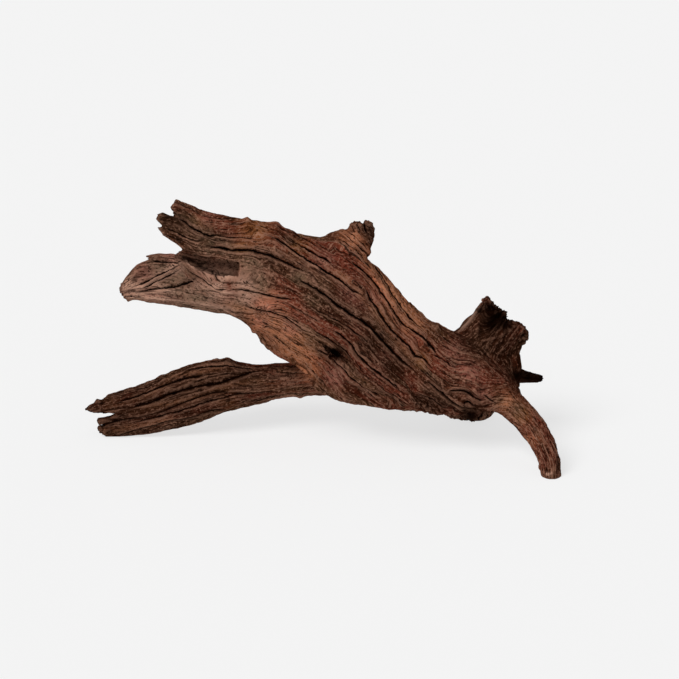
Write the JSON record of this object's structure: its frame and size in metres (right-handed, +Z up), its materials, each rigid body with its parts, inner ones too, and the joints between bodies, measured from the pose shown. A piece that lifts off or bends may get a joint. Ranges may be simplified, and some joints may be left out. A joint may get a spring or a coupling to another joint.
{
  "type": "driftwood",
  "caption": "Water-worn root wood with a thick furrowed trunk, broken slabs, a forked branch and a curved root, standing on three tips.",
  "frame": {"origin": "on the ground, under the middle of the part's box", "axes": "+X along the trunk towards the curved root, +Y to the back, +Z up"},
  "size_m": [0.3674, 0.1377, 0.1993],
  "materials": {
    "weathered_wood": "bare, dry, furrowed along the grain"
  },
  "bodies": {
    "root": {"driftwood": "weathered_wood"}
  },
  "joints": []
}
